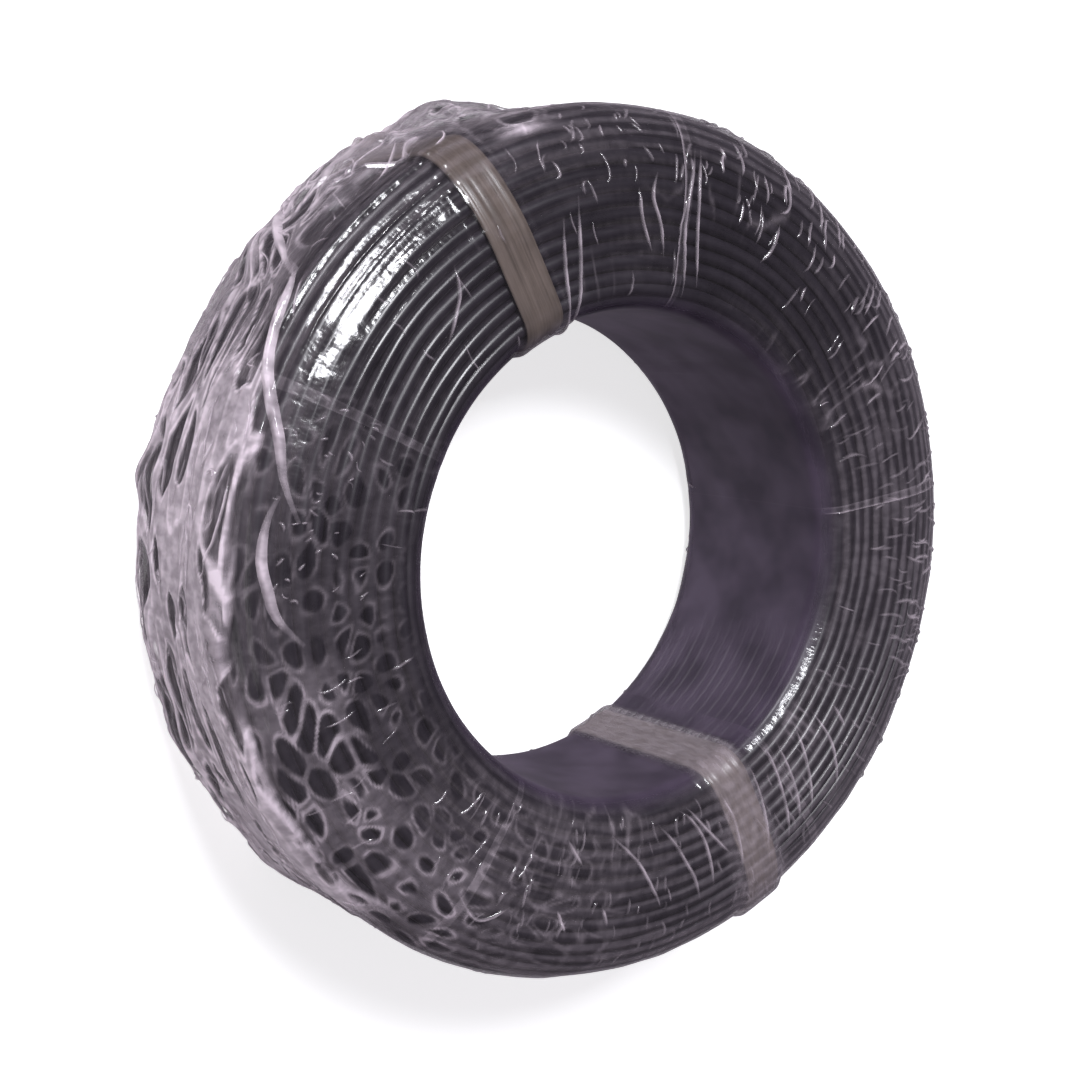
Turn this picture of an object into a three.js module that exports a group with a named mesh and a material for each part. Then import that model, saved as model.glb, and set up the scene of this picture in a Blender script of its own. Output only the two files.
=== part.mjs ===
import * as THREE from "three";

// A ring of single-core cable, held by two straps and wrapped in clear stretch film.
// The pieces are made round the Y axis, with the front end towards -Y. The whole ring is then
// laid down on its back end, with its axis along Z.

// Driving dimensions in millimetres and degrees
const cableDiameter = 3.6;
const coilRimRadius = 109;
const coilBoreRadius = 61;
const coilWidth = 63;
const coilShoulderRadial = 25;
const coilShoulderAxial = 14.5;
const coilBoreCorner = 7;
const strapWidth = 11;
const strapThickness = 0.7;
const filmThickness = 0.5;
const seatGap = 0.3;
const filmEndGap = 0.6;
const leftStrapAngle = 123;
const rightStrapAngle = -59;
const filmEndAngle = 88;

// The depth of the groove between two turns, as a share of the cable's diameter
const grooveShare = 1 / 3;

// The film's loose folds. Each has its middle's angle round the ring and its reach to either side,
// its place round the rim and its half width, where 0 is the rim's middle and 90 the front end,
// all in degrees, and its rise in millimetres.
const filmFolds = [
  { angle: 133, reach: 19, place: 5, halfWidth: 55, rise: 6 },
  { angle: 114, reach: 10, place: 0, halfWidth: 45, rise: 4.5 },
  { angle: 160, reach: 27, place: 58, halfWidth: 17, rise: 2.5 },
  { angle: 197, reach: 34, place: 42, halfWidth: 17, rise: 2.2 },
  { angle: 190, reach: 38, place: -45, halfWidth: 20, rise: 2.2 },
];

// Fineness of the facets
const ringFacets = 48;
const cornerDivisions = 3;

// How far the middle of a facet lies inside the circle through its corners
function facetDrop(radius) {
  return radius * (1 - Math.cos(Math.PI / ringFacets));
}

// How much further from the axis the edges of a flat strap lie than its middle line
function strapRise(radius) {
  return Math.hypot(radius, strapWidth / 2) - radius;
}

// The bundle of turns: its flat ends, wide outer shoulders and small corners at the bore
const coilSection = {
  bore: coilBoreRadius,
  rim: coilRimRadius,
  halfWidth: coilWidth / 2,
  cornerRadial: coilBoreCorner,
  cornerAxial: coilBoreCorner,
  shoulderRadial: coilShoulderRadial,
  shoulderAxial: coilShoulderAxial,
};

// The same section moved outwards by its own amount at the bore, the ends and the rim
function grown(section, atBore, atEnds, atRim) {
  return {
    bore: section.bore - atBore,
    rim: section.rim + atRim,
    halfWidth: section.halfWidth + atEnds,
    cornerRadial: section.cornerRadial + atBore,
    cornerAxial: section.cornerAxial + atEnds,
    shoulderRadial: section.shoulderRadial + atRim,
    shoulderAxial: section.shoulderAxial + atEnds,
  };
}

// Half of a section, from the middle of the bore wall round the corner, over the flat end and down
// the shoulder to the middle of the rim. x is the radius and y is the distance from the middle plane.
function sectionHalf(section) {
  const path = new THREE.Path();
  const rimEnd = section.halfWidth - section.shoulderAxial;
  path.moveTo(section.bore, 0);
  path.lineTo(section.bore, (section.halfWidth - section.cornerAxial) / 2);
  path.absellipse(
    section.bore + section.cornerRadial, section.halfWidth - section.cornerAxial,
    section.cornerRadial, section.cornerAxial,
    Math.PI, Math.PI / 2, true,
  );
  path.absellipse(
    section.rim - section.shoulderRadial, rimEnd,
    section.shoulderRadial, section.shoulderAxial,
    Math.PI / 2, 0, true,
  );
  path.lineTo(section.rim, rimEnd / 2);
  path.lineTo(section.rim, 0);
  return path;
}

// Both halves as one loop, counter-clockwise, which share their points on the middle plane
function wholeSection(halfPoints) {
  const mirrored = halfPoints
    .filter((point) => point.y > 0)
    .map((point) => new THREE.Vector2(point.x, -point.y));
  return [...mirrored, ...halfPoints.toReversed()];
}

function smoothSection(section) {
  return wholeSection(sectionHalf(section).getPoints(cornerDivisions));
}

// The coil's section with a crest on each turn of cable and a groove between each two
function turnedSection(section) {
  const path = sectionHalf(section);
  const turns = Math.round(path.getLength() / cableDiameter);
  const groove = cableDiameter * grooveShare;
  const points = [];
  for (let turn = 0; turn < turns; turn++) {
    const along = (turn + 0.5) / turns;
    const tangent = path.getTangent(along);
    const inward = new THREE.Vector2(tangent.y, -tangent.x);
    points.push(path.getPoint(turn / turns));
    points.push(path.getPoint(along).addScaledVector(inward, groove));
  }
  points.push(new THREE.Vector2(section.rim, 0));
  return wholeSection(points);
}

const coil = new THREE.Group();

function addPiece(name, geometry, material) {
  const mesh = new THREE.Mesh(geometry, material);
  mesh.name = name;
  coil.add(mesh);
  return mesh;
}

// The cable, wound into one ring with its bore
const insulation = new THREE.MeshStandardMaterial({
  color: 0x17161a,
  roughness: 0.45,
  metalness: 0,
});
const coilProfile = turnedSection(coilSection);
coilProfile.push(coilProfile[0].clone());
addPiece("cable_coil", new THREE.LatheGeometry(coilProfile, ringFacets), insulation);

// Two straps, each a closed flat loop through the bore and round the section
const strapPlastic = new THREE.MeshStandardMaterial({
  color: 0x6e6258,
  roughness: 0.4,
  metalness: 0,
});
const wallGap = seatGap + facetDrop(coilBoreRadius) + strapRise(coilBoreRadius);
const strapInside = grown(coilSection, wallGap, seatGap, seatGap);
const strapOutside = grown(strapInside, strapThickness, strapThickness, strapThickness);
const strapShape = new THREE.Shape(smoothSection(strapOutside));
strapShape.holes.push(new THREE.Path(smoothSection(strapInside)));

function addStrap(name, angle) {
  const geometry = new THREE.ExtrudeGeometry(strapShape, {
    depth: strapWidth,
    bevelEnabled: false,
  });
  geometry.translate(0, 0, -strapWidth / 2);
  const strap = addPiece(name, geometry, strapPlastic.clone());
  strap.rotation.y = -THREE.MathUtils.degToRad(angle);
}

addStrap("strap_left", leftStrapAngle);
addStrap("strap_right", rightStrapAngle);

// Stretch film round the coil and its straps, with a narrow gap where its two ends meet
const clearFilm = new THREE.MeshStandardMaterial({
  color: 0xb9b4ba,
  roughness: 0.15,
  metalness: 0,
  transparent: true,
  opacity: 0.35,
});
const filmInside = grown(
  strapOutside,
  seatGap,
  seatGap,
  seatGap + strapRise(strapOutside.rim) + facetDrop(strapOutside.rim),
);
const filmOutside = grown(filmInside, filmThickness, filmThickness, filmThickness);

class RingArc extends THREE.Curve {
  constructor(radius, start, sweep) {
    super();
    this.radius = radius;
    this.start = start;
    this.sweep = sweep;
  }

  getPoint(share, target = new THREE.Vector3()) {
    const angle = this.start + share * this.sweep;
    return target.set(this.radius * Math.cos(angle), 0, this.radius * Math.sin(angle));
  }
}

// A section loop as the swept shape needs it: across the ring, then out from the arc's radius
function aroundArc(points, arcRadius) {
  return points.map((point) => new THREE.Vector2(-point.y, point.x - arcRadius));
}

// 1 at the middle of a fold, falling smoothly to 0 at its reach to either side
function foldShare(distance, reach) {
  return Math.cos((Math.min(Math.abs(distance) / reach, 1) * Math.PI) / 2) ** 2;
}

// Raises the folds of a film that runs round the Y axis. Its inside rises with its outside.
function raiseFolds(geometry) {
  const foot = filmOutside.rim - filmOutside.shoulderRadial;
  const position = geometry.attributes.position;
  for (let i = 0; i < position.count; i++) {
    const [x, y, z] = [position.getX(i), position.getY(i), position.getZ(i)];
    const radius = Math.hypot(x, z);
    const angle = THREE.MathUtils.radToDeg(Math.atan2(z, x));
    const round = Math.atan2(-y, radius - foot);
    let rise = 0;
    for (const fold of filmFolds) {
      const fromMiddle = THREE.MathUtils.euclideanModulo(angle - fold.angle + 180, 360) - 180;
      const fromPlace = THREE.MathUtils.radToDeg(round) - fold.place;
      rise += fold.rise * foldShare(fromMiddle, fold.reach) * foldShare(fromPlace, fold.halfWidth);
    }
    const outward = (rise * Math.cos(round)) / radius;
    position.setXYZ(i, x + x * outward, y - rise * Math.sin(round), z + z * outward);
  }
}

const filmArcRadius = (filmOutside.bore + filmOutside.rim) / 2;
const filmEndShift = filmEndGap / filmOutside.rim / 2;
const filmShape = new THREE.Shape(aroundArc(smoothSection(filmOutside), filmArcRadius));
filmShape.holes.push(
  new THREE.Path(aroundArc(smoothSection(filmInside), filmArcRadius)),
);
const filmGeometry = new THREE.ExtrudeGeometry(filmShape, {
  steps: ringFacets,
  bevelEnabled: false,
  extrudePath: new RingArc(
    filmArcRadius,
    THREE.MathUtils.degToRad(filmEndAngle) + filmEndShift,
    2 * (Math.PI - filmEndShift),
  ),
});
raiseFolds(filmGeometry);
addPiece("stretch_film", filmGeometry, clearFilm);

// The ring lies on the film over its back end, at z = 0, with its front end up
coil.rotation.x = -Math.PI / 2;
coil.position.z = filmOutside.halfWidth;

export default coil;
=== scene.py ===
"""The looks of a ring of black cable, tied by two flat straps and wrapped in clear stretch film.

The film's outer surface carries every place in this script. A place is an angle round the ring in degrees,
a length along the ring's section in millimetres, and a height above the surface in millimetres. The length
starts at the back end of the bore wall and runs up the wall, over the front end, down the rim and back over
the rear.
"""

import bpy
import numpy as np
from mathutils import Matrix, Vector


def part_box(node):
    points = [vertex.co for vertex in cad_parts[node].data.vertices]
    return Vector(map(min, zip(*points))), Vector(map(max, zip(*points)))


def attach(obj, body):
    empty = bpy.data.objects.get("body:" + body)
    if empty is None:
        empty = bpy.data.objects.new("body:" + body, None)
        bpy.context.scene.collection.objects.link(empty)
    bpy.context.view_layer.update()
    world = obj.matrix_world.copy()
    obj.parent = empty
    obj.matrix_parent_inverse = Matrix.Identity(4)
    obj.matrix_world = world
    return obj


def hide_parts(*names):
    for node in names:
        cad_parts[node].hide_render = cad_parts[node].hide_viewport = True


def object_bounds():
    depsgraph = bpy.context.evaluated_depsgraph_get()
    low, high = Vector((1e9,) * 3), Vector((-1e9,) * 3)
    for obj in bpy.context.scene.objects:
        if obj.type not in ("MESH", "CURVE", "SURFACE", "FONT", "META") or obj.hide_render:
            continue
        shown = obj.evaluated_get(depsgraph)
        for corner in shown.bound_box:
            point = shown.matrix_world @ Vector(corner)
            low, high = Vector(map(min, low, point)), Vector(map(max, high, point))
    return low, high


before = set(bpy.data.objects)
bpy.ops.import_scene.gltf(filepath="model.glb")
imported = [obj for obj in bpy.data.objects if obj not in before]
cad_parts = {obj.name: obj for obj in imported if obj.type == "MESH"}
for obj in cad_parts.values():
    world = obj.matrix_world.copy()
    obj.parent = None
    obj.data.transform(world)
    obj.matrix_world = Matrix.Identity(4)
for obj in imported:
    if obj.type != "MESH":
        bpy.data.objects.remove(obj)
cad_low, cad_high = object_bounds()

MM = 0.001

# The radius at which the film's angles are read as millimetres
PLACE_RADIUS = 90.0

# Camera, in metres from the ring's centre, and its frame on the sensor
CAMERA_PLACE = Vector((-0.2718, 0.0347, 0.3817))
CAMERA_RIGHT = Vector((0.8485, 0.0785, 0.5233))
CAMERA_FORWARD = Vector((0.5292, -0.1259, -0.8391))
CAMERA_LENS = 60.24
CAMERA_SHIFT = (0.0718, 0.0856)
BACKDROP_RADIUS = 4.0

# Coil: its corners at the bore and its shoulders at the rim, across the ring and along its axis
COIL_CORNER = (7.0, 7.0)
COIL_SHOULDER = (25.0, 14.5)

# Cable, in millimetres and degrees. Each turn moves on to the next in the stretch called its crossing.
CABLE_DIAMETER = 3.6
STEP_DEGREES = 2.5
TURN_RADIUS = 85.0
TURN_SINK = 0.35
TURN_WOBBLE = 0.13
CROSSING_START = 18.0
CROSSING_DEGREES = 50.0

# Straps, and the height that the film rises over them
STRAP_WIDTH = 11.0
STRAP_THICKNESS = 0.7
STRAP_ANGLES = {"strap_left": 123.0, "strap_right": -59.0}
STRAP_LIFT = 0.15
FILM_OVER_STRAP = 1.3

# A strap's lengthwise folds: place across it, half width and rise in millimetres
STRAP_FOLDS = (
    (-3.3, 0.5, 0.22),
    (-0.9, 0.35, -0.12),
    (1.6, 0.45, 0.16),
    (3.9, 0.4, 0.2),
)

# Film: its height over the crests, and how far it slopes down beside a strap
FILM_LIFT = 0.18
FILM_SLOPE = 3.2

# The film's wraps: the angles between them, and each one's grid step in degrees and its edge's milkiness
WRAP_EDGES = (-47.0, 13.0, 88.0, 160.0, 242.0, 313.0)
WRAP_STEPS = (0.46, 0.44, 0.33, 0.32, 0.36)
WRAP_OVERLAP = 0.8
WRAP_EDGE_MILK = (0.1, 0.3, 0.04, 0.04, 0.04)

# The loose folds: middle and reach round the ring, place round the rim and half width, all in degrees, and
# rise. The place is 0 on the rim's middle and 90 on the front end.
FILM_FOLDS = (
    (133, 19, 5, 55, 6.0),
    (114, 10, 0, 45, 4.5),
    (160, 27, 58, 17, 2.5),
    (197, 34, 42, 17, 2.2),
    (190, 38, -45, 20, 2.2),
)

# The small lumps: middle and reach in degrees, place along the section, half width and rise in millimetres
FILM_LUMPS = (
    (144, 5, 132, 22, 3.4),
    (127, 4, 136, 20, 1.6),
    (117, 5, 134, 24, 2.6),
    (109, 3, 130, 20, 1.5),
    (174, 5, 150, 14, 1.8),
    (208, 6, 146, 12, 1.5),
)

# The wide glossy rolls: place along the section, half width and reach in millimetres, and their share
ROLL_MIDDLE = 138
FILM_ROLLS = (
    (98.0, 2.4, 27, 1.0),
    (103.6, 2.9, 30, 0.9),
    (110.4, 3.2, 30, 0.7),
)

# The distance between two points along a crease
CREASE_STEP = 0.55

# The loose film's stretch round the ring and along the section
LOOSE_ANGLES = (98.0, 244.0)
LOOSE_LENGTHS = (91.0, 178.0)


def vertex_radii(node):
    """The distances, in millimetres, of a node's vertices from the ring's axis.

    Only the right half counts, where the film has no loose folds.
    """
    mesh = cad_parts[node].data
    points = np.array([vertex.co for vertex in mesh.vertices if vertex.co.x > 0]) / MM
    return np.hypot(points[:, 0], points[:, 1])


# The film's section, from the frame and the coil's own corners
film_radii = vertex_radii("stretch_film")
coil_radii = vertex_radii("cable_coil")
FILM_RIM = film_radii.max()
FILM_BORE = film_radii.min()
HALF_WIDTH = (cad_high.z - cad_low.z) / 2 / MM
coil_low, coil_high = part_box("cable_coil")
END_GROWTH = HALF_WIDTH - (coil_high.z - coil_low.z) / 2 / MM
RIM_GROWTH = FILM_RIM - coil_radii.max()
CREST_DEPTH = (END_GROWTH + RIM_GROWTH) / 2
CORNER = (COIL_CORNER[0] + RIM_GROWTH, COIL_CORNER[1] + END_GROWTH)
SHOULDER = (COIL_SHOULDER[0] + RIM_GROWTH, COIL_SHOULDER[1] + END_GROWTH)
CABLE_RADIUS = CABLE_DIAMETER / 2
QUARTER_POINTS = 60


def quarter(centre, reach, start):
    """A quarter of an ellipse, clockwise from an angle, as rows of radius, axial place and normal."""
    turn = np.radians(np.linspace(start, start - 90, QUARTER_POINTS))
    normal = np.stack([np.cos(turn) / reach[0], np.sin(turn) / reach[1]], 1)
    normal /= np.linalg.norm(normal, axis=1)[:, None]
    place = np.stack([centre[0] + reach[0] * np.cos(turn), centre[1] + reach[1] * np.sin(turn)], 1)
    return np.hstack([place, normal])


corner_at = (FILM_BORE + CORNER[0], HALF_WIDTH - CORNER[1])
shoulder_at = (FILM_RIM - SHOULDER[0], HALF_WIDTH - SHOULDER[1])
section = np.vstack([
    quarter(corner_at, CORNER, 180),
    quarter(shoulder_at, SHOULDER, 90),
    quarter((shoulder_at[0], -shoulder_at[1]), SHOULDER, 0),
    quarter((corner_at[0], -corner_at[1]), CORNER, -90),
])
wall_start = np.array([[FILM_BORE, -corner_at[1], -1.0, 0.0]])
section = np.vstack([wall_start, section])
section_lengths = np.concatenate([[0], np.cumsum(np.hypot(*np.diff(section[:, :2], axis=0).T))])
SECTION_LENGTH = section_lengths[-1]
WALL_END = 2 * corner_at[1]
FACE_START = section_lengths[QUARTER_POINTS]
RIM_START = section_lengths[2 * QUARTER_POINTS]
RIM_END = section_lengths[2 * QUARTER_POINTS + 1]


def section_at(length):
    """Radius, axial place and outward normal of the film's surface at a length along the section."""
    along = np.mod(length, SECTION_LENGTH)
    columns = [np.interp(along, section_lengths, section[:, column]) for column in range(4)]
    size = np.hypot(columns[2], columns[3])
    return columns[0], columns[1], columns[2] / size, columns[3] / size


def surface(theta, length, height):
    """Points of the row frame, in metres, at angles, lengths and heights of one shape."""
    radius, axial, normal_radial, normal_axial = section_at(length)
    radius = radius + height * normal_radial
    axial = axial + height * normal_axial + HALF_WIDTH
    turn = np.radians(theta)
    return np.stack([radius * np.cos(turn), radius * np.sin(turn), axial], -1) * MM


# Smooth functions of place
def smooth_step(value):
    """0 up to 0, a smooth rise, and 1 from 1 on."""
    share = np.clip(value, 0, 1)
    return share * share * (3 - 2 * share)


def turn_from(theta, centre):
    """The angle from centre to theta, between -180 and 180 degrees."""
    return np.mod(theta - centre + 180, 360) - 180


def sector(theta, first, last, soft):
    """1 between two angles, falling to 0 over soft degrees outside them."""
    half = (last - first) / 2
    return smooth_step((half + soft - np.abs(turn_from(theta, first + half))) / soft)


def band(value, first, last, soft):
    """1 between two values, falling to 0 over soft outside them."""
    return smooth_step((value - first + soft) / soft) * smooth_step((last + soft - value) / soft)


def noise(theta, length, degrees, millimetres, seed):
    """Seeded smooth noise from -1 to 1, in cells that close round the ring and the section."""
    columns = max(3, round(360 / degrees))
    rows = max(3, round(SECTION_LENGTH / millimetres))
    table = np.random.default_rng(seed).uniform(-1, 1, (columns, rows))
    across = np.mod(theta, 360) / 360 * columns
    along = np.mod(length, SECTION_LENGTH) / SECTION_LENGTH * rows
    column = np.floor(across).astype(int)
    row = np.floor(along).astype(int)
    mix_across = smooth_step(across - column)
    mix_along = smooth_step(along - row)
    left = column % columns
    right = (column + 1) % columns
    low = row % rows
    high = (row + 1) % rows
    first = table[left, low] * (1 - mix_along) + table[left, high] * mix_along
    second = table[right, low] * (1 - mix_along) + table[right, high] * mix_along
    return first * (1 - mix_across) + second * mix_across


def web(theta, length, degrees, millimetres, seed, rounded=False):
    """How far a place lies from the borders of seeded cells: 0 on a border, about 1 in a middle.

    Rounded cells are smaller, and between them the value falls below 0.
    """
    columns = max(3, round(360 / degrees))
    rows = max(3, round(SECTION_LENGTH / millimetres))
    seeds = np.random.default_rng(seed).uniform(0.12, 0.88, (columns, rows, 2))
    across = np.mod(theta, 360) / 360 * columns
    along = np.mod(length, SECTION_LENGTH) / SECTION_LENGTH * rows
    nearest = np.full(np.shape(theta), 9.0)
    second = np.full(np.shape(theta), 9.0)
    for column_step in (-1, 0, 1):
        for row_step in (-1, 0, 1):
            column = np.floor(across).astype(int) + column_step
            row = np.floor(along).astype(int) + row_step
            spot = seeds[column % columns, row % rows]
            distance = np.hypot(across - column - spot[..., 0], along - row - spot[..., 1])
            second = np.minimum(second, np.maximum(nearest, distance))
            nearest = np.minimum(nearest, distance)
    if rounded:
        return np.minimum(second - nearest, 1.3 * (0.62 - nearest))
    return second - nearest


def ridges(theta, length, degrees, millimetres, seed):
    """Seeded noise from -1 to 1 with sharp crests."""
    return 1 - np.abs(noise(theta, length, degrees, millimetres, seed)) * 2


def hump(distance, reach):
    """1 at no distance, falling smoothly to 0 at the reach."""
    return np.cos(np.clip(np.abs(distance) / reach, 0, 1) * np.pi / 2) ** 2


# Meshes
def grid_mesh(name, points, closed_rows=False, closed_columns=False, values=None):
    """An object whose mesh is a grid of quads, with a number at each point for each name in values."""
    rows, columns = points.shape[:2]
    index = np.arange(rows * columns).reshape(rows, columns)
    if closed_rows:
        index = np.vstack([index, index[:1]])
    if closed_columns:
        index = np.hstack([index, index[:, :1]])
    return quad_mesh(name, points.reshape(-1, 3), grid_quads(index), values)


def grid_quads(index):
    """A grid's quads, which face out where rows run round the ring and columns along the section."""
    quads = np.stack([index[:-1, :-1], index[:-1, 1:], index[1:, 1:], index[1:, :-1]], -1)
    return quads.reshape(-1, 4)


def quad_mesh(name, points, quads, values=None):
    """An object made of quads, with a number or vector at each point for each name in values."""
    mesh = bpy.data.meshes.new(name)
    mesh.vertices.add(len(points))
    mesh.vertices.foreach_set("co", points.astype(np.float32).ravel())
    mesh.loops.add(quads.size)
    mesh.loops.foreach_set("vertex_index", quads.astype(np.int32).ravel())
    mesh.polygons.add(len(quads))
    mesh.polygons.foreach_set("loop_start", np.arange(0, quads.size, 4, dtype=np.int32))
    mesh.update(calc_edges=True)
    mesh.shade_smooth()
    for key, numbers in (values or {}).items():
        kind, field = ("FLOAT_VECTOR", "vector") if numbers.shape[-1:] == (3,) else ("FLOAT", "value")
        data = mesh.attributes.new(key, kind, "POINT").data
        data.foreach_set(field, numbers.astype(np.float32).ravel())
    piece = bpy.data.objects.new(name, mesh)
    bpy.context.collection.objects.link(piece)
    return piece


def add_piece(piece, material, slot, *nodes):
    """Gives a piece its material and the root body, and hides the nodes that it stands in for. Pieces in
    the clear film slot cast no shadow.
    """
    piece.data.materials.append(material)
    piece.visible_shadow = slot != "clear_film"
    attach(piece, "root")
    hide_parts(*nodes)


# Materials
class Recipe:
    """A material's nodes, added one at a time."""

    def __init__(self, name):
        self.material = bpy.data.materials.new(name)
        self.material.use_nodes = True
        self.tree = self.material.node_tree
        self.tree.nodes.clear()

    def add(self, kind, inputs, output=0, **settings):
        node = self.tree.nodes.new(kind)
        for key, value in settings.items():
            setattr(node, key, value)
        for key, value in inputs.items():
            if isinstance(value, bpy.types.NodeSocket):
                self.tree.links.new(value, node.inputs[key])
            else:
                node.inputs[key].default_value = value
        return node.outputs[output]

    def attribute(self, name, output="Fac"):
        return self.add("ShaderNodeAttribute", {}, output, attribute_name=name)

    def scaled(self, vector, factors):
        return self.add("ShaderNodeVectorMath", {0: vector, 1: factors}, operation="MULTIPLY")

    def noise(self, vector, detail):
        return self.add("ShaderNodeTexNoise", {"Vector": vector, "Scale": 1.0, "Detail": detail})

    def ranged(self, value, low, high, to_low, to_high):
        inputs = {0: value, 1: low, 2: high, 3: to_low, 4: to_high}
        return self.add("ShaderNodeMapRange", inputs, interpolation_type="SMOOTHSTEP")

    def ramp(self, value, low, low_colour, high, high_colour):
        """A colour that runs from one to another between two values."""
        output = self.add("ShaderNodeValToRGB", {0: value})
        first, last = output.node.color_ramp.elements
        first.position = low
        first.color = (*low_colour, 1)
        last.position = high
        last.color = (*high_colour, 1)
        return output

    def math(self, operation, first, second):
        return self.add("ShaderNodeMath", {0: first, 1: second}, operation=operation)

    def bump(self, height, distance, strength):
        inputs = {"Height": height, "Distance": distance, "Strength": strength}
        return self.add("ShaderNodeBump", inputs)

    def mixed(self, share, first, second):
        return self.add("ShaderNodeMixShader", {0: share, 1: first, 2: second})

    def finish(self, shader):
        output = self.tree.nodes.new("ShaderNodeOutputMaterial")
        self.tree.links.new(shader, output.inputs["Surface"])
        return self.material


def cable_material():
    """Black plastic insulation: faint lengthwise drawing marks and smudges."""
    recipe = Recipe("black_insulation")
    place = recipe.attribute("place", "Vector")
    smudge = recipe.noise(recipe.scaled(place, (0.06, 0.25, 0.25)), 2.0)
    marks = recipe.noise(recipe.scaled(place, (0.05, 2.5, 2.5)), 1.0)
    colour = recipe.ramp(smudge, 0.3, (0.0080, 0.0064, 0.0100), 0.72, (0.0165, 0.0130, 0.0195))
    shader = recipe.add("ShaderNodeBsdfPrincipled", {
        "Base Color": colour,
        "Roughness": recipe.ranged(smudge, 0.3, 0.75, 0.26, 0.44),
        "Specular IOR Level": 0.5,
        "Normal": recipe.bump(marks, 0.00004, 0.5),
    })
    return recipe.finish(shader)


def strap_material():
    """Tan plastic with fine lengthwise lines, drawn opaque, though the real strap is half-clear."""
    recipe = Recipe("tan_strap")
    place = recipe.attribute("place", "Vector")
    lines = recipe.noise(recipe.scaled(place, (0.03, 1.6, 1.0)), 3.0)
    cloud = recipe.noise(recipe.scaled(place, (0.12, 0.3, 0.3)), 3.0)
    tone = recipe.math("ADD", recipe.math("MULTIPLY", lines, 0.6), recipe.math("MULTIPLY", cloud, 0.4))
    colour = recipe.ramp(tone, 0.34, (0.075, 0.058, 0.048), 0.66, (0.155, 0.122, 0.105))
    shader = recipe.add("ShaderNodeBsdfPrincipled", {
        "Base Color": colour,
        "Roughness": 0.32,
        "Normal": recipe.bump(lines, 0.00012, 0.6),
    })
    return recipe.finish(shader)


def film_material():
    """Clear film: see-through where single, milky where folded or layered, satin over the bore wall. At
    grazing angles it turns milky too: partly the haze's longer path through the film, partly a painted
    reflection of the bright surroundings.
    """
    recipe = Recipe("clear_film")
    place = recipe.attribute("place", "Vector")
    milk = recipe.attribute("milk")
    lining = recipe.attribute("lining")
    relief = recipe.noise(recipe.scaled(place, (0.4, 0.22, 0.3)), 2.0)
    cloud = recipe.noise(recipe.scaled(place, (0.045, 0.06, 0.06)), 2.0)
    bump = recipe.bump(relief, 0.0003, 0.75)
    tone = recipe.math("MULTIPLY", milk, recipe.ranged(relief, 0.3, 0.7, 0.75, 1.3))
    sheen = recipe.add("ShaderNodeFresnel", {"IOR": 1.5})
    # Milky white added at grazing angles: partly the haze's longer path through the film, partly a painted
    # reflection of the bright surroundings
    veil = recipe.math("ADD", tone, recipe.ranged(sheen, 0.06, 0.9, 0.0, 0.4))
    clear = recipe.add("ShaderNodeBsdfTransparent", {"Color": (0.985, 0.98, 0.985, 1)})
    milky = recipe.add("ShaderNodeBsdfPrincipled", {
        "Base Color": (0.74, 0.64, 0.71, 1),
        "Roughness": 0.4,
        "Specular IOR Level": 0.3,
        "Normal": bump,
    })
    wall_tone = recipe.ramp(cloud, 0.36, (0.050, 0.037, 0.060), 0.62, (0.092, 0.068, 0.108))
    satin = recipe.add("ShaderNodeBsdfPrincipled", {
        "Base Color": wall_tone,
        "Roughness": 0.42,
        "Specular IOR Level": 0.5,
        "Normal": recipe.bump(cloud, 0.0006, 0.5),
    })
    veiled = recipe.mixed(veil, clear, milky)
    gloss = recipe.add("ShaderNodeBsdfGlossy", {"Color": (1, 1, 1, 1), "Roughness": 0.16, "Normal": bump})
    glossy = recipe.mixed(recipe.math("MULTIPLY", sheen, 0.8), veiled, gloss)
    return recipe.finish(recipe.mixed(lining, glossy, satin))


def floor_material():
    """A pale matt floor with a glow of its own, which keeps it nearly white."""
    recipe = Recipe("pale_floor")
    shader = recipe.add("ShaderNodeBsdfPrincipled", {
        "Base Color": (0.86, 0.86, 0.86, 1),
        "Roughness": 0.9,
        "Emission Color": (1, 1, 1, 1),
        "Emission Strength": 0.7,
    })
    return recipe.finish(shader)


# The turns' places, which the film over them follows
centre_depth = CREST_DEPTH + CABLE_RADIUS
crest_line = section[:, :2] - CREST_DEPTH * section[:, 2:]
crest_lengths = np.concatenate([[0], np.cumsum(np.hypot(*np.diff(crest_line, axis=0).T))])
TURNS = 2 * round(crest_lengths[-1] / 2 / CABLE_DIAMETER)
wall_middle = np.interp(WALL_END / 2, section_lengths, crest_lengths)
crest_counts = (crest_lengths - wall_middle) / crest_lengths[-1] * TURNS


def crossing(theta):
    """The share of a step from one turn to the next, which each turn makes in one stretch of the ring."""
    return smooth_step((np.mod(theta, 360) - CROSSING_START) / CROSSING_DEGREES)


def wobble(theta, length):
    """How far a turn strays sideways, in turns."""
    return TURN_WOBBLE * noise(theta, length, 24, 9, 11) + 0.07 * noise(theta, length, 9, 4, 12)


def sink(theta, length):
    """How far the crests lie below the coil's outer surface."""
    lone = noise(theta, length, 30, CABLE_DIAMETER, 13)
    shared = noise(theta, length, 40, 16, 14)
    return TURN_SINK * (0.5 + 0.3 * lone + 0.2 * shared)


def turn_count(theta, length):
    """The count of turns at a place: whole numbers lie on the crests."""
    counted = np.interp(np.mod(length, SECTION_LENGTH), section_lengths, crest_counts)
    return counted - crossing(theta) + wobble(theta, length)


def crest_share(theta, length):
    """1 on a turn's crest, falling to 0 in the grooves beside it."""
    return np.abs(np.cos(np.pi * turn_count(theta, length)))


def crest_place(theta, turn):
    """The length at which a turn's crest lies."""
    counted = np.mod(turn + crossing(theta) - crest_counts[0], TURNS) + crest_counts[0]
    length = np.interp(counted, crest_counts, section_lengths)
    return length - SECTION_LENGTH / TURNS * wobble(theta, length)


def place_values(theta, length):
    """Places as the materials read them: millimetres round the ring and along the section."""
    return np.stack([np.radians(theta) * PLACE_RADIUS, length, np.zeros_like(length)], -1)


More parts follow.
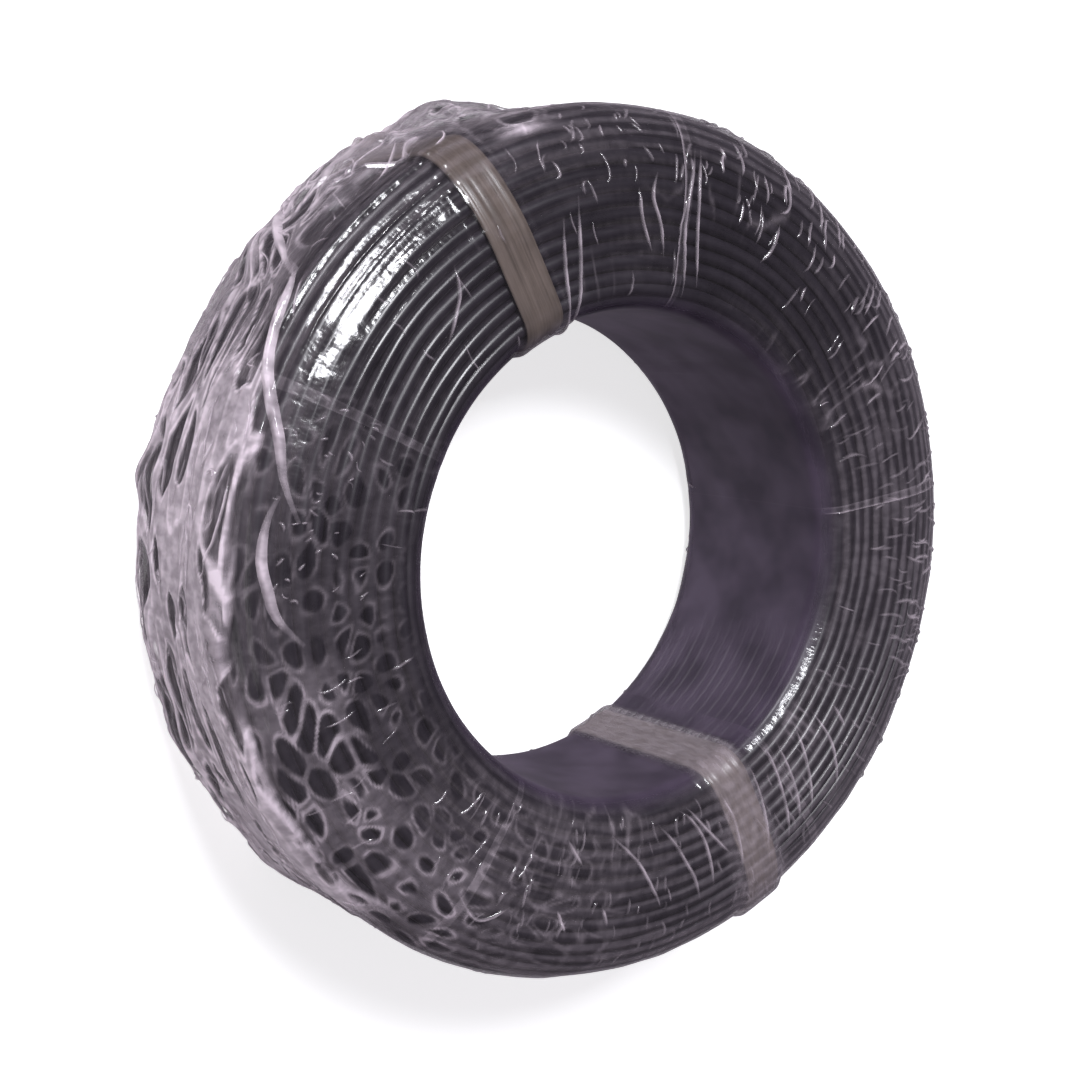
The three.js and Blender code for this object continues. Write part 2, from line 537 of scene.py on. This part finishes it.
def make_turns(material):
    """The outer layer of turns: one run of cable that ends where it starts."""
    steps = round(360 / STEP_DEGREES) * TURNS
    theta = np.arange(steps) * STEP_DEGREES
    length = crest_place(theta, np.floor(theta / 360))
    radius, axial, normal_radial, normal_axial = section_at(length)
    depth = centre_depth + sink(theta, length)
    around = np.radians([0, 32, 64, 98, 150, 210, 262, 296, 328])
    out = CABLE_RADIUS * np.cos(around)
    side = CABLE_RADIUS * np.sin(around)
    rise = out - depth[:, None]
    ring_radius = radius[:, None] + rise * normal_radial[:, None] + side * normal_axial[:, None]
    ring_axial = axial[:, None] + rise * normal_axial[:, None] - side * normal_radial[:, None]
    turn = np.radians(theta)[:, None]
    points = np.stack([ring_radius * np.cos(turn), ring_radius * np.sin(turn), ring_axial + HALF_WIDTH], -1)
    place = np.stack(np.broadcast_arrays(turn * TURN_RADIUS, out, side), -1)
    piece = grid_mesh("cable_turns", points * MM, True, True, {"place": place})
    add_piece(piece, material, "cable_insulation", "cable_coil")


def make_inner_turns(material):
    """The layer of turns below the outer one, which shows as dark lines in its grooves."""
    lengths = np.linspace(0, SECTION_LENGTH, 3 * TURNS, endpoint=False)
    theta, length = np.meshgrid(np.arange(0, 360, 3.0), lengths, indexing="ij")
    height = -(CREST_DEPTH + CABLE_RADIUS * 1.5) - 0.8 * crest_share(theta, length)
    points = surface(theta, length, height)
    piece = grid_mesh("cable_inner_layers", points, True, True, {"place": place_values(theta, length)})
    add_piece(piece, material, "cable_insulation", "cable_coil")


# Straps
def strap_surface(theta, length):
    """How far the straps lift the film over them."""
    radius = section_at(length)[0]
    lift = np.zeros_like(theta)
    for angle in STRAP_ANGLES.values():
        offset = np.abs(turn_from(theta, angle)) * np.pi / 180 * radius
        lift = np.maximum(lift, smooth_step((STRAP_WIDTH / 2 + FILM_SLOPE - offset) / FILM_SLOPE))
    return lift * FILM_OVER_STRAP


def make_strap(name, angle, material, seed):
    """A strap round the section, with lowered edges, lengthwise folds and fine ripples."""
    half = STRAP_WIDTH / 2
    across = np.linspace(half, -half, 21)
    lengths = np.linspace(0, SECTION_LENGTH, 240, endpoint=False)
    length, offset = np.meshgrid(lengths, across, indexing="ij")
    drift = 0.9 * noise(np.full_like(length, angle), length, 30, 35, seed)
    radius = section_at(length)[0]
    theta = angle + np.degrees((offset + drift / 2) / radius)
    folds = np.zeros_like(length)
    for place, width, rise in STRAP_FOLDS:
        centre = place + drift + 0.6 * noise(np.full_like(length, 3 * place), length, 30, 24, seed + 1)
        folds += rise * np.exp(-(((offset - centre) / width) ** 2))
    ripple = 0.12 * noise(theta, length, 2.2, 9, seed + 2)
    base = -CREST_DEPTH + STRAP_LIFT
    top = base + STRAP_THICKNESS + folds + ripple
    edge = 0.25 * smooth_step((np.abs(offset) - half + 0.6) / 0.6)
    upper = surface(theta, length, top - edge)
    lower = surface(theta, length, base + edge * 0.5)
    points = np.concatenate([upper, lower[:, ::-1]], 1)
    place = np.stack([length, offset, np.zeros_like(length)], -1)
    values = {"place": np.concatenate([place, place[:, ::-1]], 1)}
    piece = grid_mesh(name, points, True, True, values)
    add_piece(piece, material, "strap_plastic", name.replace("_band", ""))


# Film
def over_bore(length):
    """1 on the bore wall, falling to 0 over its corners."""
    shifted = np.mod(length + 30, SECTION_LENGTH) - 30
    return smooth_step((shifted + 8) / 7) * smooth_step((WALL_END + 11 - shifted) / 9)


def lumps(theta, length):
    """Small crumpled lumps on the loose folds."""
    rise = np.zeros_like(theta)
    for angle, reach, middle, half_width, height in FILM_LUMPS:
        rise += height * hump(turn_from(theta, angle), reach) * hump(length - middle, half_width)
    return rise


def fold_rise(theta, length):
    """How far the loose folds stand off the film under them."""
    radius, axial = section_at(length)[:2]
    place = np.degrees(np.arctan2(axial, radius - shoulder_at[0]))
    rise = np.zeros_like(theta)
    for angle, reach, fold_place, half_width, height in FILM_FOLDS:
        rise += height * hump(turn_from(theta, angle), reach) * hump(place - fold_place, half_width)
    return rise


def radial_lines(theta, length):
    """The share of the fine lines across the turns, where the film is pulled tight."""
    lines = np.clip(ridges(theta, length, 2.2, 24, 22), 0, 1)
    return lines * smooth_step(0.2 + noise(theta, length, 18, 22, 23))


def tight_height(theta, length):
    """The film where it lies on the turns."""
    groove = 1 - crest_share(theta, length)
    slack = smooth_step(0.5 + 0.9 * noise(theta, length, 9, 14, 21))
    height = -CREST_DEPTH + FILM_LIFT - sink(theta, length) * 0.7 + 0.35 * slack
    height -= 0.22 * groove * (1 - slack)
    height += 0.28 * radial_lines(theta, length) ** 3
    height += 0.16 * noise(theta, length, 3.5, 5, 24) * slack
    flat = over_bore(length)
    height = height * (1 - flat) + flat * (-CREST_DEPTH + 0.35 + 0.12 * noise(theta, length, 12, 20, 25))
    height += strap_surface(theta, length)
    return height


def clinging_cells(theta, length):
    """The share of rounded patches where the film clings to the turns, and of their bright rims."""
    bent = length + 1.6 * noise(theta, length, 9, 10, 33)
    turned = theta + 2.2 * noise(theta, length, 7, 8, 34)
    depth = web(turned, bent, 5.6, 6.4, 35, rounded=True)
    border = 0.2 + 0.2 * noise(theta, length, 7, 7, 36)
    patch = smooth_step((depth - border) / 0.16)
    rim = np.exp(-(((depth - border) / 0.09) ** 2))
    return patch, rim


def cell_field(theta, length):
    """Where the patches show: strongly at the lower left, faintly over the rest of the left side."""
    strong = sector(theta, 200, 241, 9) * band(length, 84, 109, 6)
    faint = sector(theta, 170, 262, 20) * band(length, 68, 108, 8)
    return np.maximum(strong, 0.28 * faint)


def tight_milk(theta, length):
    """How milky the tight film is."""
    crest = crest_share(theta, length)
    contact = smooth_step((crest - 0.45) * 2.2 + 0.7 * noise(theta, length, 5, 5, 31))
    veil = 0.022 + 0.02 * noise(theta, length, 14, 18, 32)
    veil += 0.085 * sector(theta, -125, 22, 25) * band(length, 64, 135, 12)
    veil += 0.05 * band(length, 100, 135, 12)
    milk = veil * (1 - 0.75 * contact)
    milk += 0.14 * sector(theta, -62, -56, 4) * band(length, 55, 140, 6)
    milk += 0.2 * radial_lines(theta, length) ** 6
    patch, rim = clinging_cells(theta, length)
    field = cell_field(theta, length)
    uneven = smooth_step(0.55 + 0.9 * noise(theta, length, 3.1, 3.4, 37))
    cells = 0.12 * (1 - patch) + 0.025 + 0.36 * rim * uneven
    milk = milk * (1 - field) + cells * field
    return np.clip(milk, 0.01, 0.95)


def section_steps():
    """Lengths along the section, closest where the front end shows."""
    spans = (
        (0, WALL_END, 4.0),
        (WALL_END, FACE_START, 1.2),
        (FACE_START, RIM_START, 0.55),
        (RIM_START, RIM_END, 0.9),
        (RIM_END, SECTION_LENGTH, 1.2),
    )
    return np.concatenate([
        np.linspace(low, high, round((high - low) / step), endpoint=False)
        for low, high, step in spans
    ])


def make_wraps(material):
    """The tight film, one piece for each wrap, each slightly over the next."""
    lengths = section_steps()
    for number, step in enumerate(WRAP_STEPS):
        first = WRAP_EDGES[number] - WRAP_OVERLAP
        last = WRAP_EDGES[number + 1] + WRAP_OVERLAP
        angles = np.linspace(first, last, round((last - first) / step))
        theta, length = np.meshgrid(angles, lengths, indexing="ij")
        height = tight_height(theta, length)
        milk = tight_milk(theta, length)
        edge = np.minimum(theta - first, last - theta)
        over = smooth_step((last - theta) / 6)
        height += 0.06 * (1 - over)
        milk += WRAP_EDGE_MILK[number] * np.exp(-((edge / 0.22) ** 2))
        on_strap = strap_surface(theta, length) / FILM_OVER_STRAP
        # Painted light: milky white over the strap on the bore wall, which lightens the strap where the
        # lamps leave it in shade
        milk += 0.22 * on_strap * over_bore(length)
        lining = over_bore(length) * (0.88 - 0.78 * on_strap)
        values = {"milk": milk, "lining": lining, "place": place_values(theta, length)}
        points = surface(theta, length, height)
        piece = grid_mesh(f"film_wrap_{number + 1}", points, False, True, values)
        add_piece(piece, material, "clear_film", "stretch_film")


def loose_edge(theta, length):
    """Where the loose film's edge lies on the front shoulder."""
    wide_waves = 3.5 * noise(theta, length, 14, 60, 61)
    fine_waves = 0.8 * noise(theta, length, 4, 60, 75)
    return LOOSE_LENGTHS[0] + 14 + wide_waves + fine_waves


def loose_cover(theta, length):
    """1 where the loose film lies, falling to 0 towards its edges."""
    turned = theta + 4 * noise(theta, length, 60, 13, 76) + 1.2 * noise(theta, length, 60, 4, 77)
    round_ring = sector(turned, LOOSE_ANGLES[0] + 16, LOOSE_ANGLES[1] - 18, 9)
    front = smooth_step((length - loose_edge(theta, length)) / 1.4 + 1)
    return round_ring * front * band(length, 0, LOOSE_LENGTHS[1] - 4, 3)


def loose_cells(theta, length):
    """The depth of a place in the cells between the loose film's bands, and the depth where they end."""
    bent = length + 2.2 * noise(theta, length, 16, 20, 62)
    turned = theta + 2.5 * noise(theta, length, 9, 9, 63)
    long_cells = web(turned, bent, 15, 7.5, 64)
    short_cells = web(turned, bent, 6, 6.5, 65, rounded=True)
    blend = sector(theta, 158, 210, 14)
    depth = long_cells * blend + short_cells * (1 - blend)
    bands = 0.2 + 0.2 * noise(theta, length, 20, 16, 66)
    bands += 1.3 * sector(theta, 188, 226, 6) * band(length, 114, 121, 3)
    bands += 0.9 * smooth_step(1.6 * noise(theta, length, 13, 11, 73))
    return depth, bands


def film_rolls(theta, length):
    """The share of the wide glossy rolls that the film makes over the shoulder at the upper left."""
    along = np.radians(turn_from(theta, ROLL_MIDDLE)) * PLACE_RADIUS
    rolls = np.zeros_like(theta)
    for middle, half_width, reach, share in FILM_ROLLS:
        ends = smooth_step((reach - np.abs(along)) / 7)
        across = np.clip(np.abs(length - middle) / half_width, 0, 1)
        rolls += share * ends * np.sqrt(1 - across ** 2)
    return rolls


def loose_height(theta, length):
    """The loose film's height, with its bands, clinging cells, folds, rolls and lumps."""
    depth, bands = loose_cells(theta, length)
    cling = smooth_step((depth - bands) / 0.3)
    lift = 0.9 + 0.45 * noise(theta, length, 12, 9, 67) + 0.25 * noise(theta, length, 3.2, 4.5, 68)
    rise = fold_rise(theta, length)
    ripples = 0.35 * np.clip(ridges(theta, length, 11, 4.2, 69), 0, 1) ** 2
    above = (lift + ripples) * (1 - 0.8 * cling) + rise * (0.86 + 0.14 * noise(theta, length, 6, 9, 70))
    smooth = sector(theta, 120, 156, 8) * band(length, 94, 114, 3)
    above = above * (1 - 0.85 * smooth) + smooth * (0.3 + 1.5 * film_rolls(theta, length))
    above += lumps(theta, length)
    return tight_height(theta, length) + np.maximum(loose_cover(theta, length), smooth) * above + 0.08


def loose_milk(theta, length):
    """How milky the loose film is."""
    depth, bands = loose_cells(theta, length)
    cling = smooth_step((depth - bands) / 0.16)
    rim = np.exp(-(((depth - bands) / 0.06) ** 2))
    heavy = sector(theta, 168, 232, 16)
    veil = 0.2 + 0.32 * heavy + 0.1 * noise(theta, length, 10, 8, 71)
    ripples = np.clip(ridges(theta, length, 11, 4.2, 69), 0, 1) ** 6
    uneven = 0.6 + 0.4 * noise(theta, length, 8, 6, 72)
    milk = veil * (1 - 0.93 * cling) + 0.62 * rim * uneven + 0.4 * ripples
    hem = np.exp(-(((length - loose_edge(theta, length)) / 0.7) ** 2))
    milk += 0.5 * hem * smooth_step(0.5 + noise(theta, length, 7, 60, 74))
    milk *= 1 - 0.95 * sector(theta, 118, 154, 6) * band(length, 90, 114, 4)
    return np.clip(milk * loose_cover(theta, length), 0.0, 0.95)


def make_loose_film(material):
    """The loose film over the rim's left side and the bulge at the upper left."""
    angles = np.arange(*LOOSE_ANGLES, 0.36)
    lengths = np.arange(*LOOSE_LENGTHS, 0.5)
    theta, length = np.meshgrid(angles, lengths, indexing="ij")
    milk = loose_milk(theta, length)
    values = {"milk": milk, "lining": np.zeros_like(milk), "place": place_values(theta, length)}
    piece = grid_mesh("film_loose", surface(theta, length, loose_height(theta, length)), values=values)
    add_piece(piece, material, "clear_film", "stretch_film")


class Creases:
    """Thin folds that stand on the film, gathered into one piece."""

    across = np.array([-1, -0.45, 0, 0.45, 1])
    rise = np.array([0, 0.75, 1, 0.75, 0])

    def __init__(self, ground):
        self.ground = ground
        self.points = []
        self.quads = []
        self.milk = []
        self.place = []
        self.count = 0

    def add(self, path, width, height, milk, taper=0.25, blade=0.0):
        """A fold along a path of angles and lengths, with its width and height in millimetres.

        With a blade of 1 it is as milky at its edges as along its middle.
        """
        path = np.array(path, float)
        radius = section_at(path[:, 1])[0]
        flat = np.stack([np.radians(path[:, 0]) * radius.mean(), path[:, 1]], 1)
        smooth = curve_through(flat, CREASE_STEP)
        step = np.gradient(smooth, axis=0)
        step /= np.maximum(np.linalg.norm(step, axis=1), 1e-9)[:, None]
        normal = np.stack([-step[:, 1], step[:, 0]], 1)
        share = np.linspace(0, 1, len(smooth))
        ends = smooth_step(share / taper) * smooth_step((1 - share) / taper)
        half = width / 2 * (0.35 + 0.65 * ends)
        spots = smooth[:, None] + normal[:, None] * (half[:, None] * self.across)[:, :, None]
        theta = np.degrees(spots[:, :, 0] / radius.mean())
        length = spots[:, :, 1]
        lift = 0.03 + self.rise * (height * ends)[:, None]
        points = surface(theta, length, self.ground(theta, length) + lift)
        rows, columns = points.shape[:2]
        index = self.count + np.arange(rows * columns).reshape(rows, columns)
        uneven = 0.75 + 0.25 * noise(theta, length, 2.0, 3.0, 41)
        self.points.append(points.reshape(-1, 3))
        self.quads.append(grid_quads(index))
        profile = blade + (1 - blade) * self.rise ** 2
        fading = 0.1 + 0.9 * ends[:, None]
        self.milk.append((milk * uneven * profile * fading).ravel())
        self.place.append(place_values(theta, length).reshape(-1, 3))
        self.count += rows * columns

    def finish(self, name, material):
        milk = np.concatenate(self.milk)
        values = {"milk": milk, "lining": np.zeros_like(milk), "place": np.concatenate(self.place)}
        piece = quad_mesh(name, np.concatenate(self.points), np.concatenate(self.quads), values)
        add_piece(piece, material, "clear_film", "stretch_film")


def curve_through(points, step):
    """Points about step apart on a smooth curve through the given ones."""
    before_first = 2 * points[:1] - points[1:2]
    after_last = 2 * points[-1:] - points[-2:-1]
    padded = np.vstack([before_first, points, after_last])
    found = []
    for before, start, end, after in zip(padded, padded[1:], padded[2:], padded[3:]):
        count = max(2, round(np.linalg.norm(end - start) / step))
        share = np.linspace(0, 1, count, endpoint=False)[:, None]
        found.append(0.5 * (
            2 * start
            + (end - before) * share
            + (2 * before - 5 * start + 4 * end - after) * share ** 2
            + (3 * start - before - 3 * end + after) * share ** 3
        ))
    return np.vstack([*found, points[-1:]])


def random_path(rng, theta, length, degrees, millimetres, bend):
    """A short curved path from one place to another, with a random bend."""
    share = np.linspace(0, 1, 4)
    sway = bend * rng.uniform(-1, 1) * np.sin(np.pi * share)
    return np.stack([theta + degrees * share + sway * 0.6, length + millimetres * share + sway], 1)


def add_hand_creases(creases):
    """The long folds that stand out in front."""
    lower_right = (
        ((280, 63), (284, 70), (287, 80), (288, 88)),
        ((286, 61), (289, 66), (291, 74), (291, 86)),
        ((288, 61), (292, 70), (296, 80)),
        ((297, 62), (298, 72), (297, 86)),
        ((307, 60), (306, 70), (303, 86)),
        ((313, 58), (312, 70), (308, 90)),
        ((316, 62), (314.5, 74), (311, 88)),
        ((322, 63), (319, 74), (314, 88)),
        ((327, 66), (325, 78), (320, 92)),
        ((331, 72), (329, 80)),
        ((268, 64), (275, 72), (279, 82), (280, 86)),
        ((257, 66), (262, 72)),
        ((240, 88), (246, 92), (250, 86)),
        ((259, 84), (262, 90)),
        ((268, 83), (269.5, 88)),
    )
    for path in lower_right:
        creases.add(path, 1.3, 0.5, 0.62)
    upper = (
        ((86, 58), (87, 68), (88, 80), (86.5, 96)),
        ((83, 62), (85, 74), (86, 86), (85.5, 96)),
        ((116, 40), (114, 56), (111, 70), (109, 84)),
        ((118, 42), (117, 54), (115, 66), (112.5, 80)),
        ((92, 68), (93, 75), (95, 82), (94, 88)),
        ((95, 69), (97, 76), (97.5, 84)),
        ((133, 84), (135, 78), (139, 74), (142, 72)),
    )
    for path in upper:
        creases.add(path, 1.2, 0.5, 0.55)


def scatter(creases, seed, count, theta_range, length_range, size, bend, width, height, milk):
    """Random small folds in a region. size is their longest reach round the ring and along the section."""
    rng = np.random.default_rng(seed)
    for _ in range(count):
        theta = rng.uniform(*theta_range)
        length = rng.uniform(*length_range)
        reach = rng.uniform(0.4, 1.0)
        degrees = size[0] * reach * rng.uniform(-1, 1)
        millimetres = size[1] * reach * rng.choice((-1, 1))
        path = random_path(rng, theta, length, degrees, millimetres, bend * reach)
        share = rng.uniform(0.6, 1.3)
        creases.add(path, width * share, height * share, milk * rng.uniform(0.35, 1.0))


def add_blades(creases):
    """The two long bright folds at the left, which end in points on the front end.

    Returns the first one's path over the bulge.
    """
    crest = (
        (112, 138), (118, 141), (124, 146), (130, 147), (137, 139), (145, 121), (148, 112),
        (157, 108), (164, 101), (167, 98), (171.5, 95), (176.5, 90),
    )
    second = ((173.3, 95.5), (177, 97.5), (181.5, 98), (185.3, 96.5), (189, 94.5), (193, 89))
    creases.add(crest[5:], 2.9, 1.5, 0.95, taper=0.35, blade=0.7)
    creases.add(second, 2.8, 1.4, 0.9, taper=0.4, blade=0.7)
    return crest[:7]


def make_creases(material):
    front = Creases(tight_height)
    add_hand_creases(front)
    scatter(front, 101, 110, (0, 360), (60, 100), (1.5, 9), 1.6, 0.8, 0.3, 0.4)
    scatter(front, 102, 120, (-25, 82), (86, 109), (1.6, 12), 2.8, 1.1, 0.35, 0.6)
    scatter(front, 106, 60, (-75, 30), (66, 100), (2, 11), 1.6, 1.0, 0.4, 0.35)
    scatter(front, 103, 36, (160, 188), (74, 97), (2.0, 2.5), 0.8, 0.8, 0.35, 0.5)
    scatter(front, 104, 40, (74, 112), (84, 108), (2.0, 5), 1.5, 1.0, 0.4, 0.4)
    scatter(front, 105, 60, (236, 300), (62, 98), (1.5, 6), 1.2, 1.0, 0.35, 0.3)
    scatter(front, 113, 130, (0, 360), (150, 212), (5, 8), 1.6, 1.0, 0.4, 0.4)
    scatter(front, 114, 60, (240, 460), (118, 150), (7, 8), 1.6, 1.0, 0.12, 0.35)
    front.finish("film_creases_front", material)
    side = Creases(loose_height)
    bulge_crest = add_blades(side)
    side.add(bulge_crest, 2.4, 1.0, 0.95, taper=0.15, blade=0.5)
    scatter(side, 111, 130, (156, 236), (108, 160), (16, 4), 2.4, 0.9, 0.5, 0.95)
    scatter(side, 112, 110, (104, 160), (108, 165), (11, 6), 2.6, 0.8, 0.5, 0.9)
    side.finish("film_creases_side", material)


# Stage
def make_camera():
    """The camera at the photo's viewing angle."""
    data = bpy.data.cameras.new("camera")
    camera = bpy.data.objects.new("camera", data)
    bpy.context.collection.objects.link(camera)
    bpy.context.scene.camera = camera
    right = CAMERA_RIGHT.normalized()
    back = -CAMERA_FORWARD.normalized()
    up = back.cross(right)
    turn = Matrix((right, up, back)).transposed().to_4x4()
    centre = Vector((0, 0, HALF_WIDTH * MM))
    camera.matrix_world = Matrix.Translation(centre + CAMERA_PLACE) @ turn
    data.lens = CAMERA_LENS
    data.sensor_width = 36
    data.shift_x, data.shift_y = CAMERA_SHIFT
    data.clip_start = 0.01
    data.clip_end = 20


def make_light(name, direction, distance, size, power, colour=(1, 1, 1)):
    """A rectangular light that shines on the origin from a direction."""
    data = bpy.data.lights.new(name, "AREA")
    data.shape = "RECTANGLE"
    data.size, data.size_y = size
    data.energy = power
    data.color = colour
    light = bpy.data.objects.new(name, data)
    bpy.context.collection.objects.link(light)
    back = Vector(direction).normalized()
    light.location = back * distance
    light.rotation_mode = "QUATERNION"
    light.rotation_quaternion = back.to_track_quat("Z", "Y")


def make_backdrop():
    """A pale dome round the floor, which only the camera sees."""
    bpy.ops.mesh.primitive_uv_sphere_add(segments=64, ring_count=32, radius=BACKDROP_RADIUS)
    dome = bpy.context.object
    dome.name = "backdrop"
    dome.data.shade_smooth()
    recipe = Recipe("pale_backdrop")
    shader = recipe.add("ShaderNodeEmission", {"Color": (1, 1, 1, 1), "Strength": 0.9})
    dome.data.materials.append(recipe.finish(shader))
    dome.visible_diffuse = False
    dome.visible_glossy = False
    dome.visible_transmission = False
    dome.visible_shadow = False


def make_stage():
    """Floor, backdrop, lights and world, and the limits on how often light is traced on."""
    bpy.ops.mesh.primitive_plane_add(size=2.2 * BACKDROP_RADIUS)
    floor = bpy.context.object
    floor.name = "floor"
    floor.data.materials.append(floor_material())
    floor.visible_glossy = False
    make_backdrop()
    make_light("key", (-0.23, 0.5, 0.87), 0.95, (0.22, 0.28), 8.5, (0.95, 0.96, 1.0))
    make_light("left_fill", (-0.95, -0.2, 0.3), 1.2, (0.9, 0.9), 1.0)
    world = bpy.data.worlds.new("studio")
    bpy.context.scene.world = world
    world.use_nodes = True
    tree = world.node_tree
    world.cycles.sampling_method = "NONE"
    background = tree.nodes["Background"]
    background.inputs["Color"].default_value = (0.93, 0.83, 1.0, 1)
    background.inputs["Strength"].default_value = 0.19
    scene = bpy.context.scene
    scene.view_settings.view_transform = "Standard"
    scene.cycles.transparent_max_bounces = 24
    scene.cycles.diffuse_bounces = 1
    scene.cycles.glossy_bounces = 1


make_camera()
make_stage()
insulation = cable_material()
make_turns(insulation)
make_inner_turns(insulation)
strap_plastic = strap_material()
for number, (strap_name, strap_angle) in enumerate(STRAP_ANGLES.items()):
    make_strap(strap_name + "_band", strap_angle, strap_plastic, 51 + 10 * number)
clear_film = film_material()
make_wraps(clear_film)
make_loose_film(clear_film)
make_creases(clear_film)
